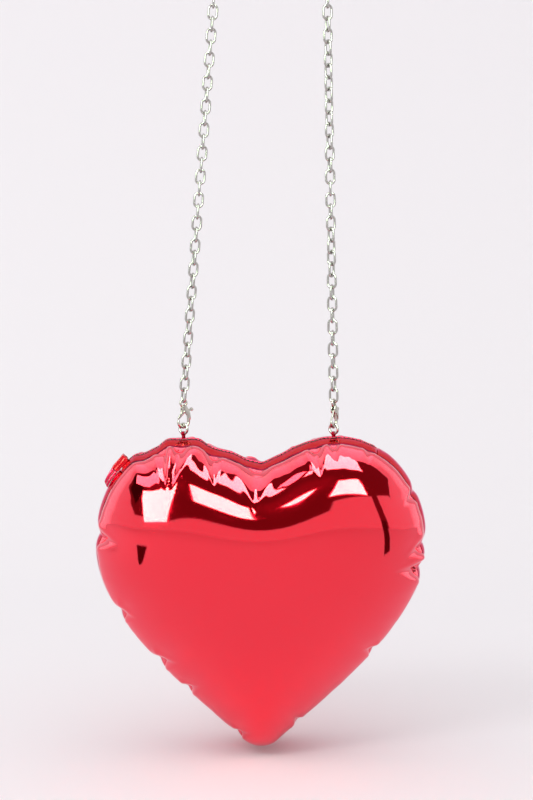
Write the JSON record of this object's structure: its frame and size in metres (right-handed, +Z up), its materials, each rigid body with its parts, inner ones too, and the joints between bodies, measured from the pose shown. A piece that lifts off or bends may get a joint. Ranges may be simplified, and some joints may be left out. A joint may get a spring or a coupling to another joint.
{
  "type": "heart shaped purse",
  "caption": "Padded heart shaped zip purse of red mirror vinyl, hung from a metal link chain strap by spring clasps and rings.",
  "frame": {"origin": "inside of the top of the chain strap's arc, where a hand or a hook carries the bag", "axes": "+Z up along the hanging strap, -Y out of the front face, +X to the right seen from the front"},
  "size_m": [0.201, 0.08, 0.4953],
  "materials": {
    "mirror_vinyl": "mirror-bright red coated vinyl, softly padded",
    "seam_vinyl": "turned-in seam, dark in its groove",
    "foam": "white polyester foam",
    "lining_cloth": "plain woven lining on board",
    "zip_tape": "woven tape",
    "zip_teeth": "nylon teeth",
    "slider_enamel": "red enamel",
    "chain_steel": "bright nickel plate",
    "clasp_metal": "bright nickel plate",
    "ring_metal": "bright nickel plate",
    "spring_steel": "drawn wire"
  },
  "bodies": {
    "strap_top": {"chain_top": "chain_steel"},
    "strand_left_upper": {"chain_left_upper": "chain_steel"},
    "strand_left_lower": {"chain_left_lower": "chain_steel"},
    "clasp_left": {"clasp_body_left": "clasp_metal", "clasp_pin_left": "clasp_metal", "clasp_spring_left": "spring_steel"},
    "gate_left": {"clasp_gate_left": "clasp_metal"},
    "strand_right_upper": {"chain_right_upper": "chain_steel"},
    "strand_right_lower": {"chain_right_lower": "chain_steel"},
    "clasp_right": {"clasp_body_right": "clasp_metal", "clasp_pin_right": "clasp_metal", "clasp_spring_right": "spring_steel"},
    "gate_right": {"clasp_gate_right": "clasp_metal"},
    "bag": {"back_panel": "mirror_vinyl", "back_padding": "foam", "back_lining": "lining_cloth", "back_seam": "seam_vinyl", "back_zip_band": "mirror_vinyl", "back_zip_tape": "zip_tape", "back_zip_teeth": "zip_teeth", "lower_gusset": "mirror_vinyl", "ring_tab_left": "mirror_vinyl", "ring_tab_right": "mirror_vinyl"},
    "ring_left": {"ring_left": "ring_metal"},
    "ring_right": {"ring_right": "ring_metal"},
    "front_half": {"front_panel": "mirror_vinyl", "front_padding": "foam", "front_lining": "lining_cloth", "front_seam": "seam_vinyl", "front_zip_band": "mirror_vinyl", "front_zip_tape": "zip_tape", "front_zip_teeth": "zip_teeth"},
    "zip_slider": {"zip_slider": "slider_enamel"},
    "zip_puller": {"zip_puller": "mirror_vinyl"}
  },
  "joints": [
    {"name": "strap_upper_left_swing", "type": "hinge", "parent": "strap_top", "child": "strand_left_upper", "pos_m": [-0.0331, 0, -0.02906], "axis": [1, 0, 0], "range_deg": [-30, 30]},
    {"name": "strap_lower_left_swing", "type": "hinge", "parent": "strand_left_upper", "child": "strand_left_lower", "pos_m": [-0.053, 0, -0.15362], "axis": [1, 0, 0], "range_deg": [-30, 30]},
    {"name": "clasp_left_swing", "type": "hinge", "parent": "strand_left_lower", "child": "clasp_left", "pos_m": [-0.053, 0, -0.27866], "axis": [1, 0, 0], "range_deg": [-20, 20]},
    {"name": "gate_left_press", "type": "hinge", "parent": "clasp_left", "child": "gate_left", "pos_m": [-0.05282, 0.00009, -0.28546], "axis": [0.4226, -0.9063, 0], "range_deg": [0, 20], "stiffness_Nm_per_rad": 0.004, "springref_deg": -8.59},
    {"name": "ring_left_tilt", "type": "hinge", "parent": "bag", "child": "ring_left", "pos_m": [-0.053, 0, -0.29896], "axis": [0.7986, -0.6018, 0], "range_deg": [-3, 3]},
    {"name": "strap_upper_right_swing", "type": "hinge", "parent": "strap_top", "child": "strand_right_upper", "pos_m": [0.0331, 0, -0.02906], "axis": [1, 0, 0], "range_deg": [-30, 30]},
    {"name": "strap_lower_right_swing", "type": "hinge", "parent": "strand_right_upper", "child": "strand_right_lower", "pos_m": [0.038, 0, -0.15362], "axis": [1, 0, 0], "range_deg": [-30, 30]},
    {"name": "clasp_right_swing", "type": "hinge", "parent": "strand_right_lower", "child": "clasp_right", "pos_m": [0.038, 0, -0.27946], "axis": [1, 0, 0], "range_deg": [-20, 20]},
    {"name": "gate_right_press", "type": "hinge", "parent": "clasp_right", "child": "gate_right", "pos_m": [0.03809, 0.00018, -0.28546], "axis": [0.8829, -0.4695, 0], "range_deg": [0, 20], "stiffness_Nm_per_rad": 0.004, "springref_deg": -8.59},
    {"name": "ring_right_tilt", "type": "hinge", "parent": "bag", "child": "ring_right", "pos_m": [0.038, 0, -0.29896], "axis": [0.7986, -0.6018, 0], "range_deg": [-3, 3]},
    {"name": "bag_swing", "type": "hinge", "parent": "clasp_left", "child": "bag", "pos_m": [-0.053, 0, -0.29496], "axis": [1, 0, 0], "range_deg": [-20, 20]},
    {"name": "mouth_open", "type": "hinge", "parent": "bag", "child": "front_half", "pos_m": [-0.006, -0.0216, -0.48827], "axis": [1, 0, 0], "range_deg": [0, 5]},
    {"name": "zip_slide", "type": "hinge", "parent": "bag", "child": "zip_slider", "pos_m": [-0.0515, -0.0056, -0.35027], "axis": [0, 1, 0], "range_deg": [0, 40]},
    {"name": "puller_lift", "type": "hinge", "parent": "zip_slider", "child": "zip_puller", "pos_m": [-0.08946, -0.0056, -0.31171], "axis": [0, 1, 0], "range_deg": [0, 120]}
  ],
  "couplings": [
    {"joint": "strap_upper_right_swing", "follows": "strap_upper_left_swing", "ratio": 1},
    {"joint": "strap_lower_right_swing", "follows": "strap_lower_left_swing", "ratio": 1},
    {"joint": "clasp_right_swing", "follows": "clasp_left_swing", "ratio": 1},
    {"joint": "ring_left_tilt", "follows": "bag_swing", "ratio": -0.15},
    {"joint": "ring_right_tilt", "follows": "bag_swing", "ratio": -0.15}
  ]
}
